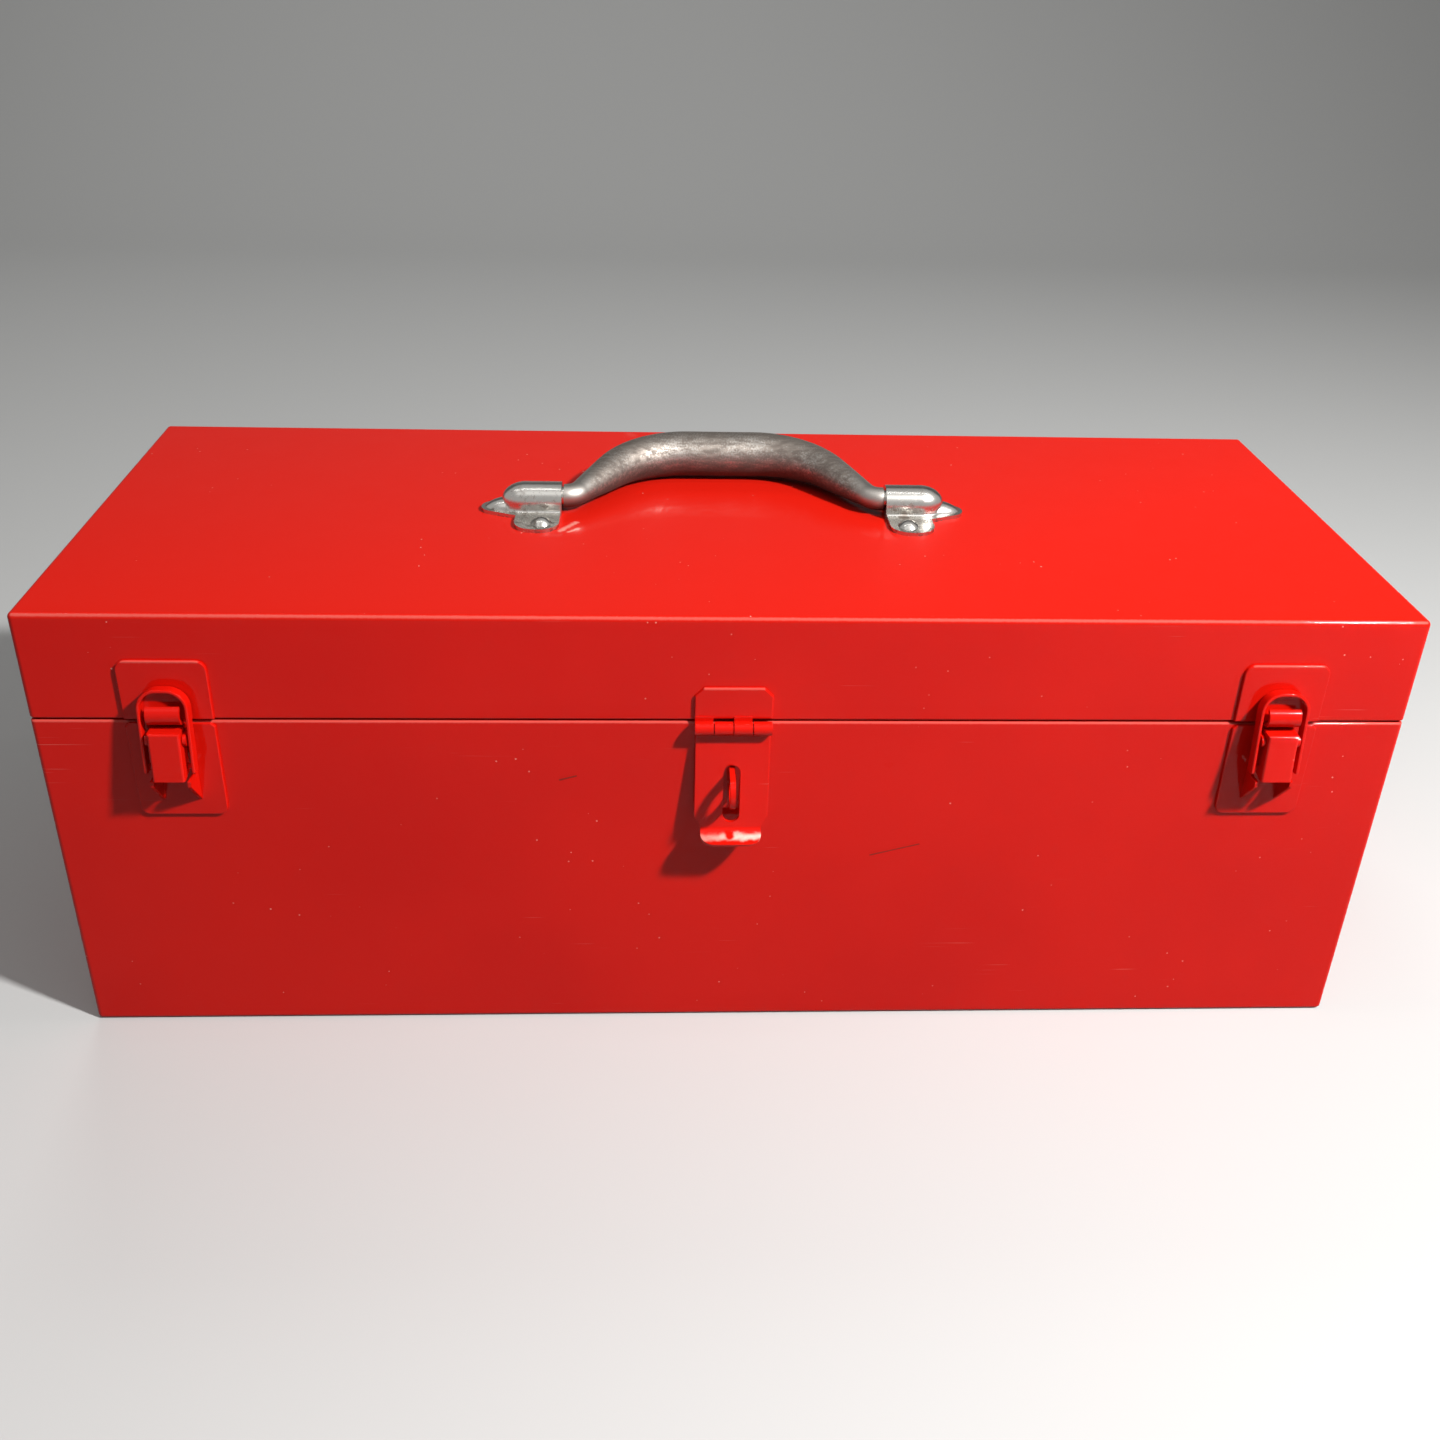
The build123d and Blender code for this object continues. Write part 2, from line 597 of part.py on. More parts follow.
with BuildPart() as hasp_strap:
    with BuildLine(side_plane()) as strap_line:
        straight = Line(STRAP_TOP, STRAP_FOOT)
        bend = JernArc(straight @ 1, straight % 1, STRAP_BEND_R, STRAP_BEND_ANGLE)
        lip = Line(bend @ 1, bend @ 1 + STRAP_LIP * (bend % 1))
    with BuildSketch(Plane(origin=straight @ 0, x_dir=(1, 0, 0), z_dir=straight % 0)):
        RectangleRounded(STRAP_WIDTH, HASP_SHEET, STRAP_EDGE_ROUND)
    sweep(path=strap_line.wires()[0])
    lip_plane = Plane(origin=lip @ 0, x_dir=(1, 0, 0), z_dir=Vector(1, 0, 0).cross(lip % 0))
    with BuildSketch(lip_plane):
        for x in (-1, 1):
            with Locations((x * (STRAP_LIP_WIDTH + STRAP_CORNER) / 2, 0)):
                Rectangle(STRAP_CORNER, 4 * STRAP_LIP)
            with Locations((x * (STRAP_LIP_WIDTH - STRAP_CORNER) / 2, STRAP_LIP - STRAP_CORNER / 2)):
                Rectangle(STRAP_CORNER, STRAP_CORNER)
            with Locations((x * (STRAP_LIP_WIDTH / 2 - STRAP_CORNER), STRAP_LIP - STRAP_CORNER)):
                Circle(STRAP_CORNER, mode=Mode.SUBTRACT)
    extrude(amount=HASP_SHEET, both=True, mode=Mode.SUBTRACT)
    with BuildSketch(front_plane()):
        with BuildLine():
            Polyline(
                (STRAP_WIDTH / 2, STRAP_FOOT[1] + STRAP_SHOULDER),
                (STRAP_LIP_WIDTH / 2, STRAP_FOOT[1]),
                (STRAP_LIP_WIDTH / 2, STRAP_FOOT[1] - STRAP_BEND_R),
                (STRAP_WIDTH, STRAP_FOOT[1] - STRAP_BEND_R),
                (STRAP_WIDTH, STRAP_FOOT[1] + STRAP_SHOULDER),
                close=True,
            )
        make_face()
        mirror(about=Plane.YZ)
        with Locations((0, (SLOT_TOP + SLOT_BOTTOM) / 2)):
            SlotOverall(SLOT_TOP - SLOT_BOTTOM, SLOT_WIDTH, rotation=90)
    extrude(amount=STAPLE_REACH, mode=Mode.SUBTRACT)
    add(hasp_knuckles(1, STRAP_TOP[0], -HASP_CLEAR))
save(hasp_strap.part, "hasp_strap")

with BuildPart() as hasp_staple:
    with BuildSketch(front_plane()):
        with Locations((0, STAPLE_EYE[1])):
            RectangleRounded(STAPLE_FOOT_WIDTH, STAPLE_FOOT_HEIGHT, STAPLE_FOOT_CORNER)
    extrude(amount=HASP_SHEET)
    fillet(hasp_staple.faces().sort_by(Axis.Y)[0].edges(), PLATE_EDGE_ROUND)
    with BuildSketch(side_plane()):
        with Locations(STAPLE_EYE):
            Circle(STAPLE_R)
        with Locations((STAPLE_EYE[0] / 2, STAPLE_EYE[1])):
            Rectangle(STAPLE_EYE[0], 2 * STAPLE_R)
        with Locations(STAPLE_EYE):
            Circle(PADLOCK_HOLE_R, mode=Mode.SUBTRACT)
    extrude(amount=STAPLE_THICKNESS / 2, both=True)
save(hasp_staple.part, "hasp_staple")


def handle_plane():
    """Plane of the bent handle as it lies back on the lid: local x along the box, local y along its arms."""
    tilt = radians(HANDLE_REST_TILT)
    return Plane(origin=(0, 0, HANDLE_AXIS_Z), x_dir=(1, 0, 0), z_dir=(0, -sin(tilt), cos(tilt)))


def handle_line(end_x):
    """Corners and bend radii of the handle's centre line, out to end_x on both sides."""
    corners = [
        (-end_x, 0),
        (-HANDLE_KNEE_X, 0),
        (-HANDLE_SHOULDER_X, HANDLE_ARM),
        (HANDLE_SHOULDER_X, HANDLE_ARM),
        (HANDLE_KNEE_X, 0),
        (end_x, 0),
    ]
    radii = [HANDLE_KNEE_R, HANDLE_SHOULDER_R, HANDLE_SHOULDER_R, HANDLE_KNEE_R]
    return corners, radii


with BuildPart() as handle_rod:
    rod_corners, rod_radii = handle_line(TRUNNION_END_X)
    with BuildLine(handle_plane()) as rod_line:
        FilletPolyline(*rod_corners, radius=rod_radii)
    with BuildSketch(Plane(origin=rod_line.line @ 0, z_dir=rod_line.line % 0)):
        Circle(HANDLE_ROD_R)
    sweep()
save(handle_rod.part, "handle_rod")


def grip_sleeve(inset):
    """Solid grip along the handle's bends: full over the palm, drawn in along both legs to slim necks."""
    turn = atan2(HANDLE_ARM, HANDLE_KNEE_X - HANDLE_SHOULDER_X)
    knee_lead = HANDLE_KNEE_R * tan(turn / 2)
    shoulder_lead = HANDLE_SHOULDER_R * tan(turn / 2)
    leg_high = (HANDLE_SHOULDER_X + shoulder_lead * cos(turn), HANDLE_ARM - shoulder_lead * sin(turn))
    leg_low = (HANDLE_KNEE_X - knee_lead * cos(turn), knee_lead * sin(turn))
    with BuildPart() as sleeve:
        with BuildLine(handle_plane()):
            palm = Line((0, HANDLE_ARM), (HANDLE_SHOULDER_X - shoulder_lead, HANDLE_ARM))
        with BuildSketch(Plane(origin=palm @ 0, z_dir=palm % 0)):
            Circle(GRIP_R - inset)
        extrude(amount=palm.length)
        with BuildLine(handle_plane()) as taper_line:
            TangentArc(palm @ 1, leg_high, tangent=palm % 1)
            Line(leg_high, leg_low)
        taper = taper_line.wires()[0]
        for i in range(GRIP_SECTIONS):
            along = i / (GRIP_SECTIONS - 1)
            fullness = (1 - along) ** GRIP_TAPER
            swell = fullness * fullness * (3 - 2 * fullness)
            section = Plane(origin=taper @ along, x_dir=handle_plane().z_dir, z_dir=taper % along)
            with BuildSketch(section):
                Circle(GRIP_NECK_R + (GRIP_R - GRIP_NECK_R) * swell - inset)
        loft()
        with BuildLine(handle_plane()) as neck_line:
            neck = Line((HANDLE_KNEE_X + knee_lead + GRIP_LEAD, 0), (HANDLE_KNEE_X + knee_lead, 0))
            TangentArc(neck @ 1, leg_low, tangent=neck % 1)
        with BuildSketch(Plane(origin=neck @ 0, z_dir=neck % 0)):
            Circle(GRIP_NECK_R - inset)
        sweep(path=neck_line.wires()[0])
        mirror(about=Plane.YZ)
    return sleeve.part


with BuildPart() as handle_grip:
    add(grip_sleeve(0))
    add(grip_sleeve(GRIP_WALL), mode=Mode.SUBTRACT)
save(handle_grip.part, "handle_grip")


def half_ellipsoid(x, z, reach, radius):
    """Upper half of an egg that lies along the box, its middle at x and z."""
    with BuildPart() as egg:
        with BuildSketch(Plane.XY.offset(z)):
            with BuildLine():
                EllipticalCenterArc((x, 0), reach, radius, start_angle=0, arc_size=180)
                Line((x - reach, 0), (x + reach, 0))
            make_face()
        revolve(axis=Axis((x, 0, z), (1, 0, 0)), revolution_arc=180)
    return egg.part


def bracket(side):
    """Pressed pivot bracket: a domed tunnel for the handle's end, with a nose, on a foot with rivet lobes."""
    spring = TOP + BRACKET_DOME_RISE - BRACKET_DOME_R
    dome_x = side * (BRACKET_MOUTH_X + TUNNEL)
    ridge_x = side * (BRACKET_TIP_X - BRACKET_RIDGE_MARGIN - BRACKET_RIDGE)

    def on_dome_foot(edge):
        beyond = max(0.0, side * (edge.center().X - dome_x))
        return abs(hypot(beyond / BRACKET_NOSE, edge.center().Y / BRACKET_DOME_R) - 1) < RIVET_GAP

    with BuildPart() as shell:
        with BuildSketch(Plane.XY.offset(TOP)):
            with Locations((side * BRACKET_TONGUE_X, 0)):
                Circle(BRACKET_TONGUE_R)
            with Locations((side * (BRACKET_TIP_X - BRACKET_TIP_R), 0)):
                Circle(BRACKET_TIP_R)
            make_hull()
            with Locations((side * BRACKET_LOBE_X, 0)):
                RectangleRounded(BRACKET_LOBE_WIDTH, 2 * BRACKET_LOBE_REACH, BRACKET_LOBE_CORNER)
        extrude(amount=BRACKET_SHEET)
        with BuildSketch(Plane.YZ.offset(side * BRACKET_MOUTH_X)):
            with BuildLine():
                Polyline(
                    (BRACKET_DOME_R, spring),
                    (BRACKET_DOME_R, TOP),
                    (-BRACKET_DOME_R, TOP),
                    (-BRACKET_DOME_R, spring),
                )
                RadiusArc((-BRACKET_DOME_R, spring), (BRACKET_DOME_R, spring), BRACKET_DOME_R)
            make_face()
        extrude(amount=side * TUNNEL)
        with BuildSketch(Plane.XY.offset(TOP)):
            with Locations((dome_x, 0)):
                Ellipse(BRACKET_NOSE, BRACKET_DOME_R)
        extrude(amount=spring - TOP)
        add(half_ellipsoid(dome_x, spring, BRACKET_NOSE, BRACKET_DOME_R))
        roots = shell.edges().filter_by_position(Axis.Z, TOP + BRACKET_SHEET, TOP + BRACKET_SHEET)
        fillet(roots.filter_by(on_dome_foot), BRACKET_ROOT_ROUND)
        add(half_ellipsoid(ridge_x, TOP, BRACKET_RIDGE, BRACKET_RIDGE_R))
        with BuildSketch(Plane.YZ.offset(side * BRACKET_MOUTH_X)):
            with Locations((0, HANDLE_AXIS_Z)):
                Circle(HANDLE_ROD_R + RUNNING_CLEARANCE)
            with Locations((0, HANDLE_AXIS_Z - HANDLE_AXIS_RISE / 2)):
                Rectangle(2 * (HANDLE_ROD_R + RUNNING_CLEARANCE), HANDLE_AXIS_RISE)
        extrude(amount=side * TUNNEL, mode=Mode.SUBTRACT)
        with BuildSketch(Plane.XY.offset(TOP)):
            with Locations(*rivet_points()):
                Circle(RIVET_R + RIVET_GAP)
        extrude(amount=BRACKET_SHEET, mode=Mode.SUBTRACT)
    return shell.part


for side_name, side in SIDES:
    save(bracket(side), f"handle_{side_name}_bracket")

with BuildPart() as rivet:
    with BuildSketch(Plane.XZ):
        with BuildLine():
            head = TOP + BRACKET_SHEET
            tail = TOP - SHEET - BACKING_SHEET
            Polyline(
                (0, head + RIVET_HEAD_RISE),
                (0, tail - RIVET_TAIL),
                (RIVET_HEAD_R - RIVET_TAIL, tail - RIVET_TAIL),
                (RIVET_HEAD_R, tail),
                (RIVET_R, tail),
                (RIVET_R, head),
                (RIVET_HEAD_R, head),
            )
            TangentArc((0, head + RIVET_HEAD_RISE), (RIVET_HEAD_R, head), tangent=(1, 0))
        make_face()
    revolve(axis=Axis.Z)

with BuildPart() as handle_rivets:
    with Locations(*rivet_points()):
        add(rivet.part)
save(handle_rivets.part, "handle_rivets")

# Tray: one sheet folded round front, bottom and back, two end panels and a riveted strap handle
with BuildPart() as tray_wrap:
    with BuildSketch(Plane.YZ) as tray_section:
        with Locations((0, TRAY_SEAT + TRAY_HEIGHT / 2)):
            Rectangle(2 * TRAY_WALL_OUTER, TRAY_HEIGHT)
        fillet(tray_section.vertices().group_by(Axis.Y)[0], TRAY_BEND_R)
        with BuildSketch(mode=Mode.SUBTRACT) as tray_hollow:
            with Locations((0, TRAY_SEAT + TRAY_SHEET + TRAY_HEIGHT / 2)):
                Rectangle(2 * TRAY_WALL_INNER, TRAY_HEIGHT)
            fillet(tray_hollow.vertices().group_by(Axis.Y)[0], TRAY_BEND_R - TRAY_SHEET)
        for y in (-1, 1):
            with Locations((y * (TRAY_WALL_OUTER + TRAY_SHEET / 2), TRAY_RIM - TRAY_HEM / 2)):
                Rectangle(TRAY_SHEET, TRAY_HEM)
    extrude(amount=TRAY_HALF_LENGTH, both=True)
    with BuildSketch(Plane.XZ):
        with GridLocations(2 * TRAY_RIVET_X, 0, 2, 1):
            with Locations((0, TRAY_RIM - TRAY_RIVET_DROP)):
                Circle(TRAY_RIVET_R + RIVET_GAP)
    extrude(amount=DEPTH, both=True, mode=Mode.SUBTRACT)
save(tray_wrap.part, "tray_wrap")

for side_name, side in SIDES:
    with BuildPart() as tray_end:
        with BuildSketch(Plane.YZ.offset(side * TRAY_HALF_LENGTH)) as tray_end_face:
            with Locations((0, (TRAY_SEAT + TRAY_SHEET + PANEL_FIT + TRAY_RIM) / 2)):
                Rectangle(2 * (TRAY_WALL_INNER - PANEL_FIT), TRAY_HEIGHT - TRAY_SHEET - PANEL_FIT)
            fillet(tray_end_face.vertices().group_by(Axis.Y)[0], TRAY_BEND_R)
        extrude(amount=-side * TRAY_SHEET)
        with BuildSketch(Plane.YZ.offset(side * (TRAY_HALF_LENGTH - TRAY_SHEET))):
            with Locations((0, TRAY_RIM - TRAY_HEM / 2)):
                Rectangle(2 * (TRAY_WALL_INNER - PANEL_FIT), TRAY_HEM)
        extrude(amount=-side * TRAY_SHEET)
    save(tray_end.part, f"tray_{side_name}_end")

with BuildPart() as tray_handle:
    foot_y = TRAY_WALL_INNER - TRAY_GRIP_SHEET / 2
    grip_top = TRAY_RIM + TRAY_GRIP_RISE - TRAY_GRIP_SHEET / 2
    with BuildLine(Plane.YZ) as strap_path:
        FilletPolyline(
            (-foot_y, TRAY_RIM - TRAY_GRIP_FOOT),
            (-foot_y, TRAY_RIM + TRAY_GRIP_SHOULDER),
            (-TRAY_GRIP_TOP_HALF, grip_top),
            (TRAY_GRIP_TOP_HALF, grip_top),
            (foot_y, TRAY_RIM + TRAY_GRIP_SHOULDER),
            (foot_y, TRAY_RIM - TRAY_GRIP_FOOT),
            radius=TRAY_GRIP_BEND_R,
        )
    with BuildSketch(Plane(origin=strap_path.line @ 0, x_dir=(1, 0, 0), z_dir=strap_path.line % 0)):
        Rectangle(TRAY_GRIP_WIDTH, TRAY_GRIP_SHEET)
    sweep()
    with BuildSketch(Plane.XZ):
        with GridLocations(2 * TRAY_RIVET_X, 0, 2, 1):
            with Locations((0, TRAY_RIM - TRAY_RIVET_DROP)):
                Circle(TRAY_RIVET_R + RIVET_GAP)
    extrude(amount=DEPTH, both=True, mode=Mode.SUBTRACT)
save(tray_handle.part, "tray_handle")

with BuildPart() as tray_handle_rivets:
    for x in (-TRAY_RIVET_X, TRAY_RIVET_X):
        for y in (-1, 1):
            inner = Plane(
                origin=(x, y * (TRAY_WALL_INNER - TRAY_GRIP_SHEET), TRAY_RIM - TRAY_RIVET_DROP),
                z_dir=(0, y, 0),
            )
            with BuildSketch(inner):
                Circle(TRAY_RIVET_R)
            extrude(amount=TRAY_GRIP_SHEET + TRAY_SHEET)
            with BuildSketch(inner, inner.offset(TRAY_GRIP_SHEET + TRAY_SHEET + TRAY_RIVET_HEAD)):
                Circle(TRAY_RIVET_HEAD_R)
            extrude(amount=-TRAY_RIVET_HEAD)
save(tray_handle_rivets.part, "tray_handle_rivets")
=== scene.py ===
# %% [markdown]
# A red steel hand toolbox, dressed for a studio picture.
# The solid model of the box arrives as a fixed frame: every sheet, hinge, latch and rivet is already in its
# place, in metres, with +X along the box, +Y to the hinged back and +Z up.
# What is left to do here is what a solid model can't say: enamel, worn plating, the marks of use, and light.

# %% Load the frame
import json
from math import asin, atan2, cos, radians, sin, tan

import bpy
import numpy as np
from mathutils import Matrix, Vector


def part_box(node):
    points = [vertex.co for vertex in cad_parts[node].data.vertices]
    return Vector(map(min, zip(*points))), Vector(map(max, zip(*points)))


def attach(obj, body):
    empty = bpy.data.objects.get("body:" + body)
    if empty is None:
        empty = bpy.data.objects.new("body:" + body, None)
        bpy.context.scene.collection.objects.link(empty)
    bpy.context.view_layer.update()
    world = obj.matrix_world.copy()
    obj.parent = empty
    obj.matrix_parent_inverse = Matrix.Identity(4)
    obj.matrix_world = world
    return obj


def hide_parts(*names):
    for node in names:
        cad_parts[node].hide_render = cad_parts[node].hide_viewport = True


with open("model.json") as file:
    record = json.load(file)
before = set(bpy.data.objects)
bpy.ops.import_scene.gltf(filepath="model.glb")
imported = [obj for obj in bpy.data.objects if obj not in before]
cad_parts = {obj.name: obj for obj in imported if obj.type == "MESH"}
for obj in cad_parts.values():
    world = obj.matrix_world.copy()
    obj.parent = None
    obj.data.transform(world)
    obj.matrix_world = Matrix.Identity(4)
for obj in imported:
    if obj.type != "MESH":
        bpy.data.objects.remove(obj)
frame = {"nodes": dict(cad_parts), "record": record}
scene = bpy.context.scene
nodes = frame["nodes"]
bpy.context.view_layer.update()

# %% [markdown]
# The camera stands where the photographer stood. Eight corners of the box were matched with the picture, and the
# camera that explains them best looks down by almost thirty degrees, from slightly left of the middle.
# A camera could be aimed with a tracking constraint, but turning it by three plain angles keeps the small
# roll of a hand-held picture, which a constraint would level out.

# %% Camera
CAMERA_PLACE = Vector((-0.0337, -0.5768, 0.4105))
CAMERA_YAW = radians(-3.466)
CAMERA_PITCH = radians(29.565)
CAMERA_ROLL = radians(-1.839)
CAMERA_LENS_MM = 37.14
SENSOR_MM = 36.0

camera_data = bpy.data.cameras.new("camera")
camera_data.lens = CAMERA_LENS_MM
camera_data.sensor_width = SENSOR_MM
camera_data.clip_start = 0.01
camera = bpy.data.objects.new("camera", camera_data)
turn = (
    Matrix.Rotation(CAMERA_YAW, 4, "Z")
    @ Matrix.Rotation(-CAMERA_PITCH, 4, "X")
    @ Matrix.Rotation(CAMERA_ROLL, 4, "Y")
    @ Matrix.Rotation(radians(90), 4, "X")
)
camera.matrix_world = Matrix.Translation(CAMERA_PLACE) @ turn
scene.collection.objects.link(camera)
scene.camera = camera
print("camera at", [round(c, 3) for c in CAMERA_PLACE])

# %% [markdown]
# Shader maths reads best as sums. This small class holds one output socket of a node tree; adding, multiplying
# or comparing two of them adds the Math node that does it, so a mask can be written as 1 - wear * grain.
# Everything that isn't arithmetic, such as a noise texture or a colour ramp, comes from its one other method.


# %% Socket arithmetic
class Signal:
    """An output socket that can be used in Python expressions; each operator adds one Math node."""

    def __init__(self, socket):
        self.socket = socket
        self.tree = socket.id_data

    def node(self, kind, settings=None, sockets=None, out=0):
        """Add a node of this kind, set its settings and its sockets' values or links, and return one output."""
        made = self.tree.nodes.new(kind)
        for name, value in (settings or {}).items():
            setattr(made, name, value)
        for name, value in (sockets or {}).items():
            if isinstance(value, Signal):
                self.tree.links.new(value.socket, made.inputs[name])
            else:
                made.inputs[name].default_value = value
        return Signal(made.outputs[out])

    def math(self, operation, first, second=0.0):
        return self.node("ShaderNodeMath", {"operation": operation}, {0: first, 1: second})

    def __add__(self, other):
        return self.math("ADD", self, other)

    def __sub__(self, other):
        return self.math("SUBTRACT", self, other)

    def __rsub__(self, other):
        return self.math("SUBTRACT", other, self)

    def __mul__(self, other):
        return self.math("MULTIPLY", self, other)

    def __lt__(self, other):
        return self.math("LESS_THAN", self, other)

    __radd__ = __add__
    __rmul__ = __mul__


print("socket arithmetic ready")

# %% [markdown]
# A finish is built from a few kinds of signal: noise at a real scale, a soft step between two values, the
# distance to a line, a blend of two colours, and a bump. Each has a function here, so that the finishes below
# read as descriptions of a surface. Lengths are metres: a noise with a cell of 0.001 has one-millimetre grain.


# %% Words for finishes
def new_finish(name):
    """A new material: returns it with its shader node and the object's own coordinates as a Signal."""
    material = bpy.data.materials.new(name)
    material.use_nodes = True
    shader = material.node_tree.nodes["Principled BSDF"]
    place = material.node_tree.nodes.new("ShaderNodeTexCoord").outputs["Object"]
    return material, shader, Signal(place)


def feed(shader, **signals):
    """Link each signal to the shader's socket of that name, with underscores for spaces."""
    for name, signal in signals.items():
        signal.tree.links.new(signal.socket, shader.inputs[name.replace("_", " ")])


def axes(place):
    """The three coordinates of a place as separate signals."""
    return [place.node("ShaderNodeSeparateXYZ", None, {0: place}, out) for out in range(3)]


def noise(place, cell, detail=2.0, seed=0.0):
    """Smooth noise around 0.5 whose blotches are about one cell across; seed gives an independent field."""
    sockets = {"Vector": place, "W": seed, "Scale": 1 / cell, "Detail": detail}
    return place.node("ShaderNodeTexNoise", {"noise_dimensions": "4D"}, sockets)


def stretched(place, sizes, turn=(0.0, 0.0, 0.0)):
    """The place turned by three angles and divided by a size along each axis, for grain with a direction."""
    scale = [1 / size for size in sizes]
    return place.node("ShaderNodeMapping", None, {"Vector": place, "Rotation": turn, "Scale": scale})


def ramp(signal, low, high):
    """A soft step: 0 where the signal is at low, 1 where it is at high, smooth between."""
    settings = {"interpolation_type": "SMOOTHSTEP"}
    return signal.node("ShaderNodeMapRange", settings, {"Value": signal, "From Min": low, "From Max": high})


def blend(amount, first, second):
    """Colour that goes from first to second as amount goes from 0 to 1."""
    colours = [c if isinstance(c, Signal) else (*c, 1.0) for c in (first, second)]
    return amount.node("ShaderNodeMix", {"data_type": "RGBA"}, {0: amount, 6: colours[0], 7: colours[1]}, 2)


def bump(height, depth):
    """Surface normal tilted by a height signal whose full swing is depth metres."""
    return height.node("ShaderNodeBump", None, {"Height": height, "Distance": depth, "Strength": 1.0})


def to_line(place, start, end):
    """Distance from the place to the straight line between two points."""
    start, end = Vector(start), Vector(end)
    along = end - start
    vector = "ShaderNodeVectorMath"
    offset = place.node(vector, {"operation": "SUBTRACT"}, {0: place, 1: start})
    share = place.node(vector, {"operation": "DOT_PRODUCT"}, {0: offset, 1: along / along.length_squared}, 1)
    share = share.node("ShaderNodeClamp", None, {0: share})
    foot = place.node(vector, {"operation": "SCALE"}, {0: along, 3: share})
    return place.node(vector, {"operation": "DISTANCE"}, {0: offset, 1: foot}, 1)


print("words for finishes ready")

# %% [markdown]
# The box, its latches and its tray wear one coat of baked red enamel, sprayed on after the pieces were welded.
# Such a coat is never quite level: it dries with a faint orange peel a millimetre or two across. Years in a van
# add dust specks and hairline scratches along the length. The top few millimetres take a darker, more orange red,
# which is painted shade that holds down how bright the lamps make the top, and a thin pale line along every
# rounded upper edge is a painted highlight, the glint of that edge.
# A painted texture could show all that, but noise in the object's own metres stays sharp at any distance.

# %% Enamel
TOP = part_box("lid_wrap")[1][2]
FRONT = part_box("body_wrap")[0][1]
DEEP_RED = (0.56, 0.0050, 0.0020)
LIVE_RED = (0.61, 0.0065, 0.0024)
# Painted shade for the top few millimetres of the lid.
TOP_SHADE_RED = (0.55, 0.0090, 0.0036)
# The pale of dust specks, hairlines and scuffs, and also of the painted highlight along the upper edges.
DUST_AND_GLINT = (0.75, 0.42, 0.34)
UNDERCOAT = (0.10, 0.018, 0.010)
PRIMER_AND_GLARE = (0.86, 0.66, 0.55)
# Pale primer, also used as the painted highlight of the glare on the hasp's lip.
LIP_ROOT = FRONT - 0.0066
LIP_TOP = 0.0985
LIP_DROP = ((-0.0005, FRONT - 0.0060, 0.0965), (-0.0005, FRONT - 0.0092, 0.0950))
GLINT_WIDTH = 0.0005
ROUND_MIDDLE = 0.3
TOP_BAND_DEPTH = 0.003
TONE_CELL, GRIT_CELL, RAGGING_CELL, PEEL_CELL, HAZE_CELL = 0.12, 0.006, 0.0011, 0.0022, 0.018
HAIR_SIZES, HAIR_TURN = (0.030, 0.030, 0.00035), (0.0, 0.22, 0.0)
PEEL_DEPTH = 0.000016


def upper_edge(node, stand_out, rounding, inset):
    """Ends of the line along the top of a node's front, amid its rounding and inset from its corners."""
    low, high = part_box(node)
    y, z = FRONT - stand_out + ROUND_MIDDLE * rounding, high[2] - ROUND_MIDDLE * rounding
    return (low[0] + inset, y, z), (high[0] - inset, y, z)


# Painted highlight: thin pale lines along these upper edges.
LID_EDGE = upper_edge("lid_wrap", 0.0, 0.0020, 0.0020)
GLINT_EDGES = (LID_EDGE, [(x, -y, z) for x, y, z in LID_EDGE], upper_edge("body_wrap", 0.0, 0.0008, 0.0008),
                upper_edge("left_catch_plate", 0.0013, 0.0005, 0.0030),
                upper_edge("right_catch_plate", 0.0013, 0.0005, 0.0030),
                upper_edge("hasp_leaf", 0.0012, 0.0004, 0.0036))
SCRATCH_RUNS = (((0.0555, FRONT, 0.0799), (0.0743, FRONT, 0.0850), 0.00032),
                ((-0.0643, FRONT, 0.1144), (-0.0582, FRONT, 0.1161), 0.00040))
SCUFF_RUNS = (((-0.0664, -0.0225, TOP), (-0.0605, -0.0135, TOP), 0.0012),
              ((-0.0630, -0.0235, TOP), (-0.0590, -0.0195, TOP), 0.0008))


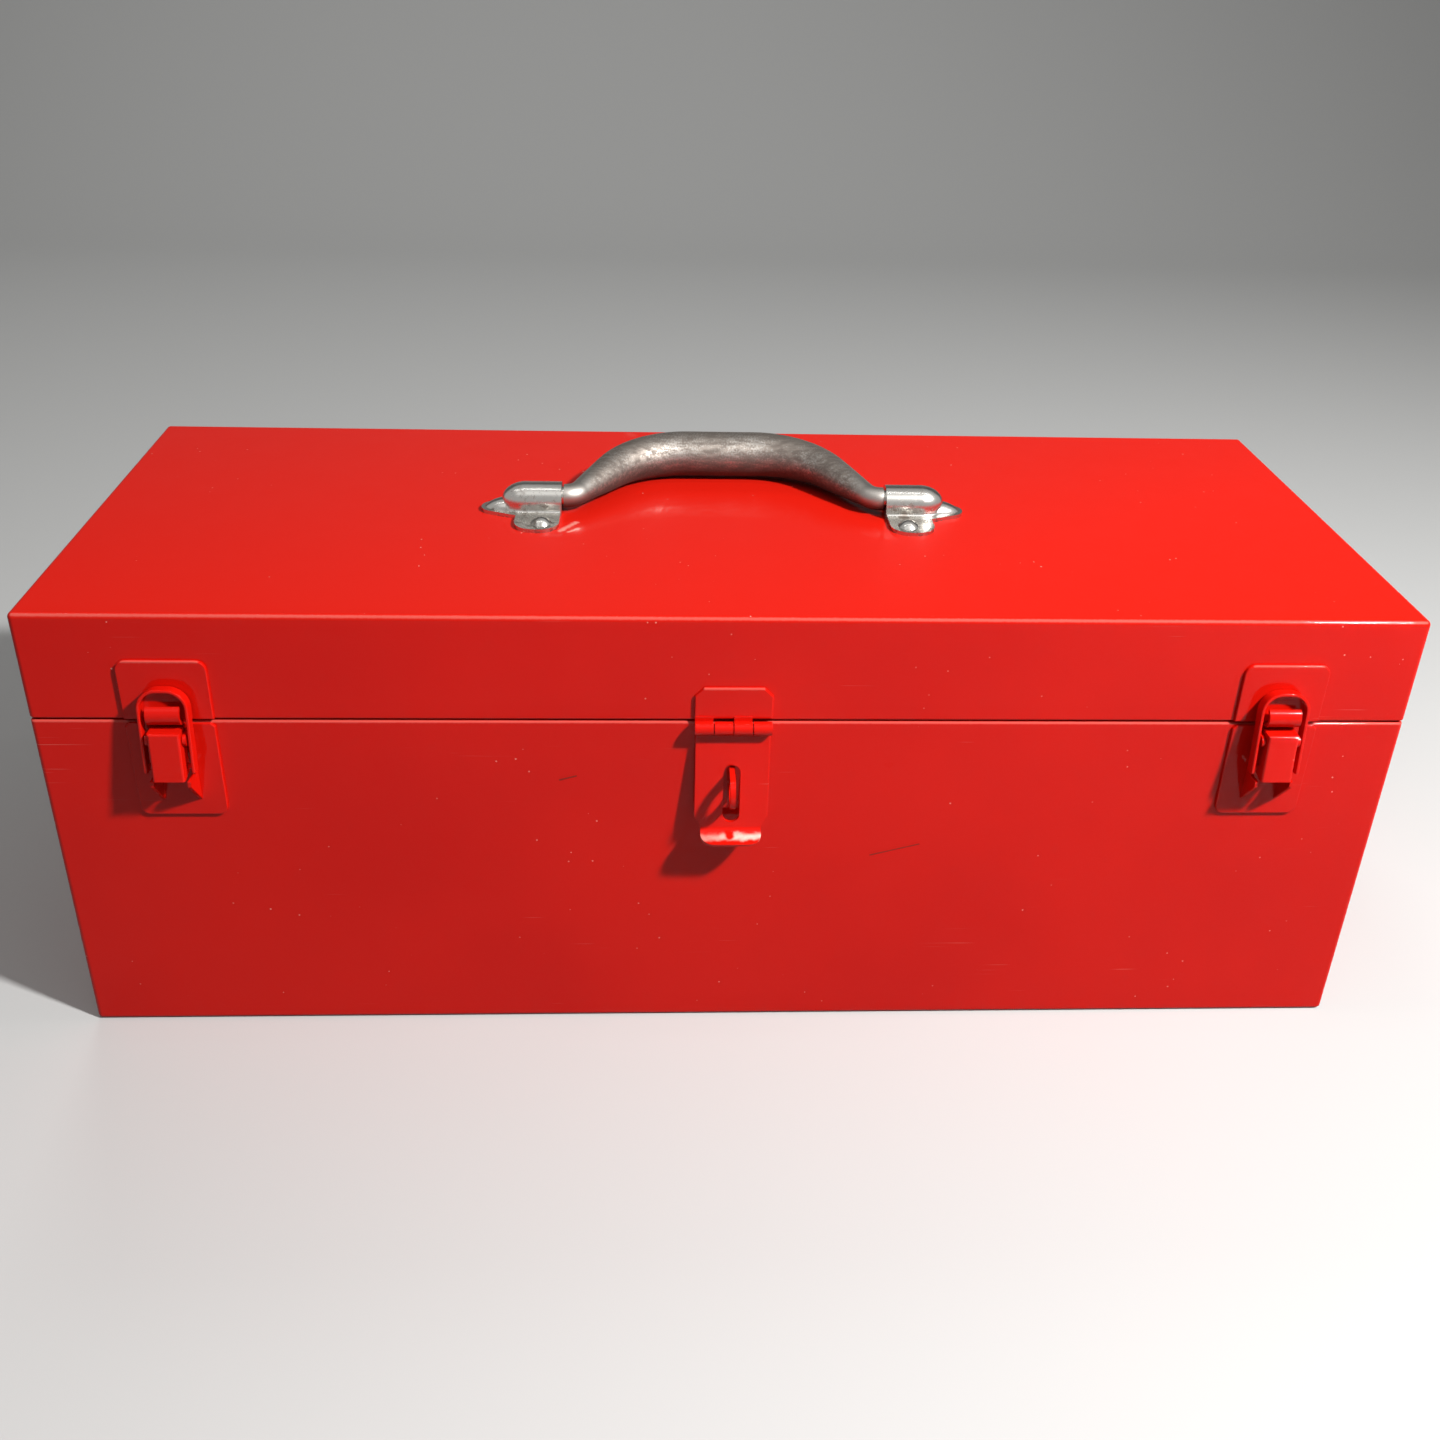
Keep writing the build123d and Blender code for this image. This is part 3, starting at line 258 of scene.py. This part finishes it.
def enamel_coat(name, wear_and_glare_from=None):
    """Red enamel; wear_and_glare_from, if given, turns the place into a mask of where the paint has gone, which
    also carries painted glare.
    """
    material, shader, place = new_finish(name)
    z = axes(place)[2]
    tone = noise(place, TONE_CELL, 3.0)
    colour = blend(ramp(tone, 0.35, 0.65), DEEP_RED, LIVE_RED)
    # Painted shade: the top few millimetres take a darker, more orange red, which holds down how bright the lamps
    # make the top.
    colour = blend(ramp(z, TOP - TOP_BAND_DEPTH, TOP - 0.0005), colour, TOP_SHADE_RED)
    hairs = noise(stretched(place, HAIR_SIZES, HAIR_TURN), 1.0, 1.0, 3.0)
    hairs = ramp(hairs, 0.735, 0.80) * ramp(noise(place, 0.05, 1.0, 5.0), 0.52, 0.62)
    grit = place.node("ShaderNodeTexVoronoi", None, {"Vector": place, "Scale": 1 / GRIT_CELL})
    specks = (grit < 0.055) * ramp(noise(place, 0.03, 1.0, 7.0), 0.52, 0.66)
    colour = blend(hairs * 0.35, colour, DUST_AND_GLINT)
    colour = blend(specks * 0.7, colour, DUST_AND_GLINT)
    ragging = noise(place, RAGGING_CELL, 2.0, 11.0)
    for start, end, width in SCUFF_RUNS:
        rub_and_glint = 1 - ramp(to_line(place, start, end) + ragging * width * 1.5, width, width * 2.2)
        colour = blend(rub_and_glint * 0.42, colour, DUST_AND_GLINT)
    # Painted highlight: a thin pale line along the lid's front and back edges, the body's rim, the catch plates
    # and the hasp's leaf.
    for start, end in GLINT_EDGES:
        rub_and_glint = 1 - ramp(to_line(place, start, end) + ragging * GLINT_WIDTH, GLINT_WIDTH, GLINT_WIDTH * 2.2)
        colour = blend(rub_and_glint * 0.15, colour, DUST_AND_GLINT)
    for start, end, width in SCRATCH_RUNS:
        cut = 1 - ramp(to_line(place, start, end) + noise(place, 0.004, 2.0, 13.0) * width, width, width * 1.6)
        colour = blend(cut * 0.8, colour, UNDERCOAT)
    peel = noise(place, PEEL_CELL, 2.0, 17.0)
    haze = noise(place, HAZE_CELL, 4.0, 19.0)
    roughness = 0.24 + haze * 0.14 + hairs * 0.12 + ramp(z, TOP - TOP_BAND_DEPTH, TOP) * 0.06
    if wear_and_glare_from:
        worn_and_glare = wear_and_glare_from(place)
        # Pale primer where the paint is worn; on the hasp's lip this is also a painted highlight.
        colour = blend(worn_and_glare, colour, PRIMER_AND_GLARE)
        roughness = roughness + worn_and_glare * 0.08
    shader.inputs["Specular IOR Level"].default_value = 0.02
    shader.inputs["Coat Weight"].default_value = 0.28
    shader.inputs["Coat Roughness"].default_value = 0.05
    relief = bump(peel - specks * 0.5 - hairs * 0.3, PEEL_DEPTH)
    feed(shader, Base_Color=colour, Roughness=roughness, Normal=relief)
    return material


def lip_wear_and_glare(place):
    """Where thumbs have rubbed the hasp's lip to primer, with the glare off the bent lip painted into the same
    pale band: thin at the left and red at its edge.
    """
    x, y, z = axes(place)
    ragged = noise(place, 0.004, 4.0, 23.0) - 0.5
    reach = LIP_ROOT - y + ragged * 0.0034
    band = ramp(reach, 0.0004, 0.0026) * (1 - ramp(reach, 0.0030, 0.0050)) * ramp(LIP_TOP - z, 0.0, 0.002)
    grain = 0.65 + noise(place, 0.0012, 2.0, 29.0) * 0.5
    drop = 1 - ramp(to_line(place, *LIP_DROP) + ragged * 0.002, 0.0008, 0.0024)
    return band * grain * (1 - drop) * (0.34 + 0.46 * ramp(x, -0.009, 0.002))


enamel = enamel_coat("red_enamel")
lip_enamel_with_glare = enamel_coat("red_enamel_worn_lip_with_glare", lip_wear_and_glare)
print("enamel:", len(enamel.node_tree.nodes), "nodes")

# %% [markdown]
# The handle, its brackets and rivets are plated steel. Plating wears where hands and the lid rub it, and what
# is under it goes grey-brown, so the metal is a patchwork: bright islands, dull ground, and fine scratches.
# The brackets are touched less than the grip, so they get the same words with more plating left.

# %% Worn plating
PLATING = (0.64, 0.62, 0.58)
PATINA = (0.27, 0.235, 0.205)
# Dirt in pits, and on the grip also the colour of painted shade.
GRIME_AND_SHADE = (0.10, 0.082, 0.070)
PATCH_CELL, PIT_CELL, STAIN_CELL = 0.014, 0.0011, 0.010
LINE_SIZES = (0.008, 0.00022, 0.00022)
SPECKLE_DEPTH = 0.000022


def worn_plating(name, kept, shine, roughness_low, grain, pitting, handling_and_shade=None):
    """Plated steel with a share of plating kept, of some shine, a speckle of one grain, pits and scratches.

    handling_and_shade, if given, turns the place into two masks: where the metal is polished, and where it is
    soiled together with where it is darkened with painted shade.
    """
    material, shader, place = new_finish(name)
    speckle = noise(place, PATCH_CELL, 3.0) * 0.4 + noise(place, grain, 2.0, 3.0) * 0.6
    bright = ramp(speckle, 0.60 - kept * 0.28, 0.76 - kept * 0.28)
    if handling_and_shade:
        polished, soiled_and_shaded = handling_and_shade(place)
        bright = bright + (1 - bright) * polished
    pits = place.node("ShaderNodeTexVoronoi", None, {"Vector": place, "Scale": 1 / PIT_CELL})
    pits = (1 - ramp(pits, 0.10, 0.28)) * ramp(noise(place, STAIN_CELL, 2.0, 5.0), 0.45, 0.62) * pitting
    lines = ramp(noise(stretched(place, LINE_SIZES), 1.0, 2.0, 7.0), 0.60, 0.74)
    colour = blend(bright * shine, PATINA, PLATING)
    colour = blend(lines * 0.25, colour, PLATING)
    colour = blend(pits, colour, GRIME_AND_SHADE)
    roughness = roughness_low + (1 - bright) * 0.14 + pits * 0.20 + lines * 0.05
    if handling_and_shade:
        # Soil, and on the grip's lower side painted shade, darken the metal here.
        colour = blend(soiled_and_shaded, colour, GRIME_AND_SHADE)
        roughness = roughness + soiled_and_shaded * 0.2
    shader.inputs["Metallic"].default_value = 1.0
    relief = bump(speckle - pits - lines * 0.3, SPECKLE_DEPTH)
    feed(shader, Base_Color=colour, Roughness=roughness, Normal=relief)
    return material


bracket_plating = worn_plating("bracket_plating", 0.95, 0.92, 0.24, 0.0022, 0.35)
rod_plating = worn_plating("rod_plating", 1.00, 1.00, 0.20, 0.0018, 0.25)
pin_steel = worn_plating("pin_steel", 0.55, 1.00, 0.28, 0.0010, 0.40)
print("plating:", [m.name for m in (bracket_plating, rod_plating, pin_steel)])

# %% [markdown]
# Each solid takes the finish of its slot in the imported record. The hasp's strap alone wears the rubbed lip,
# with its painted glare.

# %% Dress the solids
FINISH_OF_SLOT = {"red_enamel": enamel, "plated_steel": bracket_plating, "pin_steel": pin_steel}
FINISH_OF_NODE = {"hasp_strap": lip_enamel_with_glare, "handle_rod": rod_plating}
for row in frame["record"]["subparts"]:
    piece = nodes[row["node"]]
    piece.data.materials.clear()
    piece.data.materials.append(FINISH_OF_NODE.get(row["node"], FINISH_OF_SLOT[row["material_slot"]]))
print("dressed", len(nodes), "solids")

# %% [markdown]
# The grip is a steel sheet rolled round the bent rod: thick over the palm, drawn in along both legs.
# Its line is made the way a pipe bender makes it, by turning the heading at a steady rate through each bend;
# the place is the running sum of the headings. A lofted solid would show a ring where two stretches meet,
# while one surface with a smoothly falling radius has none.

# %% Grip
ARM = 0.0423
KNEE_X, SHOULDER_X = 0.0615, 0.0353
KNEE_R, SHOULDER_R = 0.0065, 0.038
GRIP_R, NECK_R, ROD_R = 0.0095, 0.0047, 0.0036
GRIP_TAPER = 0.62
NECK_LEAD = 0.0006
AXIS_RISE = 0.0063
REST_GAP = 0.0005
SEAM_WIDTH = 0.05
SEAM_DEPTH = 0.0004
ALONG, AROUND = 420, 96


def bent_line(count):
    """Half the handle's line from the palm's middle: places, headings, and how full the grip is at each.

    The heading is a chain of straight ramps of the length run so far: level over the palm, turning down through
    the shoulder at one over its radius, level down the leg, and turning back through the knee. The place is the
    sum of its cosines and sines.
    """
    lean = atan2(ARM, KNEE_X - SHOULDER_X)
    shoulder_cut, knee_cut = SHOULDER_R * tan(lean / 2), KNEE_R * tan(lean / 2)
    slant = (KNEE_X - SHOULDER_X) / cos(lean)
    leg = slant - shoulder_cut - knee_cut
    runs = [SHOULDER_X - shoulder_cut, SHOULDER_R * lean, leg, KNEE_R * lean, NECK_LEAD]
    marks = np.concatenate([[0], np.cumsum(runs)])
    length = np.linspace(0, marks[-1], count)
    heading = np.interp(length, marks, [0, 0, lean, lean, 0, 0])
    step = length[1]
    across = np.concatenate([[0], np.cumsum(step * np.cos((heading[1:] + heading[:-1]) / 2))])
    drop = np.concatenate([[0], np.cumsum(step * np.sin((heading[1:] + heading[:-1]) / 2))])
    fullness = np.clip((marks[3] - length) / (marks[3] - marks[1]), 0, 1) ** GRIP_TAPER
    return across, ARM - drop, heading, fullness


def grip_surface():
    """Points of the grip by (along, around): the bent line, plus its radius times a turning unit vector.

    The radius eases from the palm's to the neck's with the smooth step 3t^2 - 2t^3 of the fullness, closes to
    nothing inside the rod at both ends, and dips along the underside where the rolled sheet's edges meet.
    """
    across, reach, heading, fullness = bent_line(ALONG)
    swell = fullness**2 * (3 - 2 * fullness)
    radius = NECK_R + (GRIP_R - NECK_R) * swell
    mirror = np.concatenate
    across = mirror([-across[:0:-1], across])
    reach = mirror([reach[:0:-1], reach])
    heading = mirror([-heading[:0:-1], heading])
    radius = mirror([radius[:0:-1], radius])
    ends = np.array([0, 0.85 * ROD_R / NECK_R, 0.93, 0.985])
    radius = mirror([NECK_R * ends, radius, NECK_R * ends[::-1]])
    across, reach, heading = (np.pad(line, len(ends), mode="edge") for line in (across, reach, heading))
    angle = np.linspace(0, 2 * np.pi, AROUND, endpoint=False)[None, :]
    seam = np.exp(-(((angle - 1.5 * np.pi) / SEAM_WIDTH) ** 2))
    swing = (radius - SEAM_DEPTH * (radius > NECK_R))[:, None] * seam + radius[:, None] * (1 - seam)
    tilt = asin((GRIP_R + REST_GAP - AXIS_RISE) / ARM)
    sideways = np.sin(heading)[:, None] * np.cos(angle)
    outward = np.cos(heading)[:, None] * np.cos(angle)
    px = across[:, None] + swing * sideways
    flat = reach[:, None] + swing * outward
    high = swing * np.sin(angle)
    py = flat * cos(tilt) - high * sin(tilt)
    pz = TOP + AXIS_RISE + flat * sin(tilt) + high * cos(tilt)
    return np.stack([px, py, pz], axis=-1)


def surface_object(name, points):
    """Mesh from a grid of points, closed round its second direction, with a UV of (around, along)."""
    rows, columns = points.shape[:2]
    row, column = np.meshgrid(np.arange(rows - 1), np.arange(columns), indexing="ij")
    beside = (column + 1) % columns
    here, ahead = row * columns, (row + 1) * columns
    faces = np.stack([here + column, here + beside, ahead + beside, ahead + column], axis=-1).reshape(-1, 4)
    mesh = bpy.data.meshes.new(name)
    mesh.from_pydata(points.reshape(-1, 3), [], faces)
    around = np.stack([column, column + 1, column + 1, column], axis=-1) / columns
    along = np.stack([row, row, row + 1, row + 1], axis=-1) / (rows - 1)
    wrap = np.stack([around, along], axis=-1).astype(np.float32)
    mesh.uv_layers.new(name="wrap").data.foreach_set("uv", wrap.ravel())
    mesh.polygons.foreach_set("use_smooth", np.ones(len(faces), dtype=bool))
    made = bpy.data.objects.new(name, mesh)
    scene.collection.objects.link(made)
    return made


grip = surface_object("grip", grip_surface())
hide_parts("handle_grip")
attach(grip, "handle")
print("grip:", len(grip.data.polygons), "faces")

# %% [markdown]
# Hands have worn the grip more than anything else on the box. Its plating is left only as a bright speckle,
# thickest on top of the shoulders, over brown-grey steel that carries a fine hatch from years of rubbing.
# The necks, where no palm reaches, are still smooth and bright; the lower side is darkened with painted shade,
# and soil lies in blotches elsewhere.


# %% Grip finish
NECK_FROM, NECK_TO = 0.0515, 0.0585
BLOTCH_SIZES = (0.006, 0.0016, 0.0016)


def grip_handling_and_shade(place):
    """Polish at both necks, by the distance along X; painted shade on the lower side, and soil in blotches
    elsewhere.
    """
    along = place.math("ABSOLUTE", axes(place)[0])
    wrap = place.node("ShaderNodeUVMap", {"uv_map": "wrap"})
    turn = axes(wrap)[0] + (noise(place, 0.006, 2.0, 31.0) - 0.5) * 0.08
    polished = ramp(along, NECK_FROM, NECK_TO) * 0.9
    # Painted shade: the grip's lower side is darkened.
    underside_shade = ramp(turn, 0.45, 0.58) * (1 - ramp(turn, 0.86, 0.96)) * 0.88
    blotches = ramp(noise(stretched(place, BLOTCH_SIZES), 1.0, 3.0, 37.0), 0.36, 0.62) * (1 - polished)
    return polished, underside_shade + (1 - underside_shade) * blotches * 0.55


grip_finish = worn_plating("grip_plating", 0.44, 0.42, 0.42, 0.0008, 0.40, grip_handling_and_shade)
grip.data.materials.append(grip_finish)
print("grip finish:", len(grip_finish.node_tree.nodes), "nodes")

# %% [markdown]
# A studio: pale paper that runs under the box and turns up behind it in one sweep, so no horizon shows.
# The paper is a profile, flat, bent and upright, carried straight along X. It looks pale, also in the metal's
# reflections, but it throws back only the little light that the ground in the photograph does, so that the
# shadows on the red stay as deep as they are there.

# %% Backdrop
PAPER = (0.50, 0.50, 0.49)
PAPER_BOUNCE = (0.20, 0.20, 0.20)
PAPER_FRONT, PAPER_BEND_Y, PAPER_BEND_R, PAPER_HEIGHT, PAPER_HALF = -3.0, 1.3, 0.9, 3.2, 4.0


def seen_rays(signal):
    """1 for the rays that look at a surface, straight or in a mirror, and 0 for those that gather its light."""
    kinds = ("Is Camera Ray", "Is Glossy Ray", "Is Transmission Ray")
    return sum(signal.node("ShaderNodeLightPath", out=kind) for kind in kinds)


def paper_profile(count):
    """Depth and height along the paper: level to the bend, a quarter circle, then straight up."""
    bend = np.linspace(0, np.pi / 2, count)
    depth = PAPER_BEND_Y + PAPER_BEND_R * np.sin(bend)
    height = PAPER_BEND_R * (1 - np.cos(bend))
    return np.concatenate([[PAPER_FRONT], depth, depth[-1:]]), np.concatenate([[0], height, [PAPER_HEIGHT]])


depth, height = paper_profile(24)
sides = np.array([-PAPER_HALF, PAPER_HALF])[:, None] * np.ones(len(depth))
paper_points = np.stack([sides, depth * np.ones_like(sides), height * np.ones_like(sides)], axis=-1)
first = np.arange(len(depth) - 1)
paper_mesh = bpy.data.meshes.new("paper")
paper_faces = np.stack([first, first + len(depth), first + len(depth) + 1, first + 1], axis=-1)
paper_mesh.from_pydata(paper_points.reshape(-1, 3), [], paper_faces)
paper_mesh.polygons.foreach_set("use_smooth", np.ones(len(paper_faces), dtype=bool))
paper = bpy.data.objects.new("paper", paper_mesh)
scene.collection.objects.link(paper)
paper_finish, paper_shader, paper_place = new_finish("backdrop_paper")
feed(paper_shader, Base_Color=blend(seen_rays(paper_place), PAPER_BOUNCE, PAPER))
paper_shader.inputs["Roughness"].default_value = 0.9
paper_shader.inputs["Specular IOR Level"].default_value = 0.1
paper_mesh.materials.append(paper_finish)
print("backdrop:", len(paper_faces), "strips")

# %% [markdown]
# The light follows the photograph: a small key close by on the upper right, which throws the latches' shadows
# down to the left and lets the far left end fall off, a wide panel in front for the metal to mirror, a long strip
# overhead, which fills the lid evenly from end to end, and a lamp behind for the back.
# A round lamp overhead would leave both ends of the lid darker than its middle.
# The lamp behind is kept out of the gloss, where the lid would show it as a square patch.

# %% Lamps
SKY_GLOW = (0.10, 0.10, 0.10)
SKY_SEEN = (0.50, 0.50, 0.50)
BOX_MIDDLE = (0, 0, 0.1)
world = bpy.data.worlds.new("studio")
world.use_nodes = True
sky = world.node_tree.nodes["Background"]
sky_ray = Signal(world.node_tree.nodes.new("ShaderNodeLightPath").outputs["Is Camera Ray"])
feed(sky, Color=blend(seen_rays(sky_ray), SKY_GLOW, SKY_SEEN))
scene.world = world


def softbox(name, place, size, watts):
    """An area lamp of a width and a height at place, turned to face the box."""
    lamp = bpy.data.lights.new(name, "AREA")
    lamp.shape = "RECTANGLE"
    lamp.size, lamp.size_y = size
    lamp.energy = watts
    holder = bpy.data.objects.new(name, lamp)
    aim = Vector(BOX_MIDDLE) - Vector(place)
    holder.visible_camera = False
    holder.matrix_world = Matrix.Translation(place) @ aim.to_track_quat("-Z", "Y").to_matrix().to_4x4()
    scene.collection.objects.link(holder)
    return holder


softbox("key", (0.70, -0.60, 1.00), (0.08, 0.08), 28)
softbox("panel", (0.0, -0.90, 1.60), (2.4, 0.8), 3.8)
softbox("strip", (0.0, -0.10, 1.70), (2.4, 0.05), 3.5)
back = softbox("back", (-0.5, 1.50, 2.00), (0.6, 0.6), 10)
back.visible_glossy = False

# %% [markdown]
# The picture is taken in the plain Standard transform, so a colour renders about as it is written.

# %% Finish
scene.view_settings.view_transform = "Standard"
